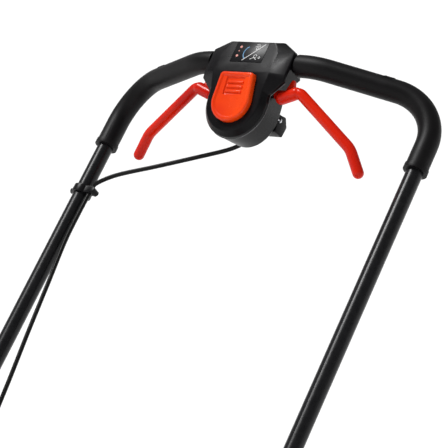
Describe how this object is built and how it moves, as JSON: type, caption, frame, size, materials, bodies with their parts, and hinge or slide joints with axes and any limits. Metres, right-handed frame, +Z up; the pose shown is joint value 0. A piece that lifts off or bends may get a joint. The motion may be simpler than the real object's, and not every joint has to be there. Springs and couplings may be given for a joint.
{
  "type": "push lawn mower",
  "caption": "Corded push lawn mower: tube handle with control box, red bail levers and safety button, deck with motor and blade, wheels and rear grass box.",
  "frame": {"origin": "on the ground, below the middle of the bounding box", "axes": "+Z up; the front of the mower is towards -Y and the operator stands at +Y facing it, so +X is on the operator's left"},
  "size_m": [0.572, 1.2453, 1.0898],
  "materials": {
    "red_gloss": "gloss",
    "black_plastic": "semi-matte moulded",
    "hood_plastic": "fine textured",
    "soft_grip": "fine matte foam rubber",
    "tube_black": "satin powder coat",
    "steel": "zinc plated",
    "blade_steel": "ground edge",
    "motor_iron": "cast",
    "tyre": "moulded tread",
    "cable_rubber": "smooth sheath",
    "panel": "glossy printed film"
  },
  "bodies": {
    "deck": {"deck_shell": "red_gloss", "motor_hood": "hood_plastic", "motor_can": "motor_iron", "shaft_bearings": "steel", "axle_clamps": "black_plastic", "height_quadrant": "black_plastic", "flap_rod": "steel", "hood_screws": "steel", "cable_deck": "cable_rubber"},
    "rotor": {"motor_shaft": "steel", "motor_armature": "motor_iron", "cooling_fan": "black_plastic", "blade": "blade_steel", "blade_bolt": "steel"},
    "rear_axle": {"rear_axle_rod": "steel", "height_grip": "red_gloss"},
    "front_axle": {"front_axle_rod": "steel"},
    "tie_link": {"tie_rod": "steel"},
    "flap": {"rear_flap": "black_plastic"},
    "grass_box": {"box_lower": "black_plastic", "box_lid": "black_plastic", "box_handle": "black_plastic"},
    "fill_indicator": {"fill_flap": "red_gloss"},
    "lower_handle": {"lower_tube_left": "tube_black", "lower_tube_right": "tube_black", "cable_lower": "cable_rubber"},
    "left_pivot_knob": {"left_knob": "black_plastic"},
    "right_pivot_knob": {"right_knob": "black_plastic"},
    "left_cam_lever": {"left_cam": "red_gloss"},
    "right_cam_lever": {"right_cam": "red_gloss"},
    "upper_handle": {"upper_tube": "tube_black", "fold_bolts": "steel", "left_grip": "soft_grip", "right_grip": "soft_grip", "switch_cover": "black_plastic", "switch_base": "black_plastic", "info_panel": "panel", "mains_inlet": "black_plastic", "lever_shaft": "steel", "microswitches": "black_plastic", "cable_gland": "black_plastic", "cable_clip": "black_plastic", "cover_screws": "steel", "cable_upper": "cable_rubber", "button_spring": "steel"},
    "left_bail": {"left_lever": "red_gloss"},
    "right_bail": {"right_lever": "red_gloss"},
    "button": {"safety_button": "red_gloss"},
    "front_left_wheel": {"front_left_rim": "black_plastic", "front_left_tyre": "tyre", "front_left_cap": "red_gloss"},
    "front_right_wheel": {"front_right_rim": "black_plastic", "front_right_tyre": "tyre", "front_right_cap": "red_gloss"},
    "rear_left_wheel": {"rear_left_rim": "black_plastic", "rear_left_tyre": "tyre", "rear_left_cap": "red_gloss"},
    "rear_right_wheel": {"rear_right_rim": "black_plastic", "rear_right_tyre": "tyre", "rear_right_cap": "red_gloss"}
  },
  "joints": [
    {"name": "front_left_wheel_spin", "type": "hinge", "parent": "front_axle", "child": "front_left_wheel", "pos_m": [0.238, -0.54766, 0.075], "axis": [1, 0, 0], "continuous": true},
    {"name": "front_right_wheel_spin", "type": "hinge", "parent": "front_axle", "child": "front_right_wheel", "pos_m": [-0.238, -0.54766, 0.075], "axis": [1, 0, 0], "continuous": true},
    {"name": "rear_left_wheel_spin", "type": "hinge", "parent": "rear_axle", "child": "rear_left_wheel", "pos_m": [0.238, -0.07266, 0.095], "axis": [1, 0, 0], "continuous": true},
    {"name": "rear_right_wheel_spin", "type": "hinge", "parent": "rear_axle", "child": "rear_right_wheel", "pos_m": [-0.238, -0.07266, 0.095], "axis": [1, 0, 0], "continuous": true},
    {"name": "rotor_spin", "type": "hinge", "parent": "deck", "child": "rotor", "pos_m": [0, -0.32266, 0.058], "axis": [0, 0, 1], "continuous": true},
    {"name": "height_adjust", "type": "hinge", "parent": "deck", "child": "rear_axle", "pos_m": [0, -0.09564, 0.07572], "axis": [-1, 0, 0], "range_deg": [0, 80]},
    {"name": "front_height", "type": "hinge", "parent": "deck", "child": "front_axle", "pos_m": [0, -0.57064, 0.05572], "axis": [-1, 0, 0], "range_deg": [0, 80]},
    {"name": "tie_rod_pivot", "type": "hinge", "parent": "rear_axle", "child": "tie_link", "pos_m": [0.195, -0.12135, 0.10636], "axis": [-1, 0, 0], "range_deg": [-80, 0]},
    {"name": "flap_hinge", "type": "hinge", "parent": "deck", "child": "flap", "pos_m": [0, -0.00966, 0.24], "axis": [1, 0, 0], "range_deg": [0, 70]},
    {"name": "box_slide", "type": "slide", "parent": "deck", "child": "grass_box", "axis": [0, 1, 0], "range_m": [0, 0.25]},
    {"name": "fill_hinge", "type": "hinge", "parent": "grass_box", "child": "fill_indicator", "pos_m": [0, 0.23734, 0.232], "axis": [1, 0, 0], "range_deg": [0, 40]},
    {"name": "lower_fold", "type": "hinge", "parent": "deck", "child": "lower_handle", "pos_m": [0, -0.00766, 0.265], "axis": [1, 0, 0], "range_deg": [0, 125]},
    {"name": "upper_fold", "type": "hinge", "parent": "lower_handle", "child": "upper_handle", "pos_m": [0, 0.24945, 0.57142], "axis": [1, 0, 0], "range_deg": [-165, 0]},
    {"name": "left_knob_turn", "type": "hinge", "parent": "deck", "child": "left_pivot_knob", "pos_m": [0.245, -0.00766, 0.265], "axis": [1, 0, 0], "continuous": true},
    {"name": "right_knob_turn", "type": "hinge", "parent": "deck", "child": "right_pivot_knob", "pos_m": [-0.245, -0.00766, 0.265], "axis": [-1, 0, 0], "continuous": true},
    {"name": "left_cam_swing", "type": "hinge", "parent": "upper_handle", "child": "left_cam_lever", "pos_m": [0.277, 0.24945, 0.57142], "axis": [0, 0.766, -0.6428], "range_deg": [0, 120]},
    {"name": "right_cam_swing", "type": "hinge", "parent": "upper_handle", "child": "right_cam_lever", "pos_m": [-0.277, 0.24945, 0.57142], "axis": [0, -0.766, 0.6428], "range_deg": [0, 120]},
    {"name": "left_bail_pull", "type": "hinge", "parent": "upper_handle", "child": "left_bail", "pos_m": [0, 0.54915, 1.02457], "axis": [1, 0, 0], "range_deg": [0, 75], "stiffness_Nm_per_rad": 0.35, "springref_deg": -17.19},
    {"name": "right_bail_pull", "type": "hinge", "parent": "upper_handle", "child": "right_bail", "pos_m": [0, 0.54915, 1.02457], "axis": [1, 0, 0], "range_deg": [0, 75], "stiffness_Nm_per_rad": 0.35, "springref_deg": -17.19},
    {"name": "button_press", "type": "slide", "parent": "upper_handle", "child": "button", "axis": [0, 0.9063, -0.4226], "range_m": [0, 0.005], "stiffness_N_per_m": 400, "springref_m": -0.004, "deforming": ["button_spring"]}
  ],
  "couplings": [
    {"joint": "front_height", "follows": "height_adjust", "ratio": 1},
    {"joint": "tie_rod_pivot", "follows": "height_adjust", "ratio": -1},
    {"joint": "upper_fold", "follows": "lower_fold", "ratio": -1.32}
  ]
}
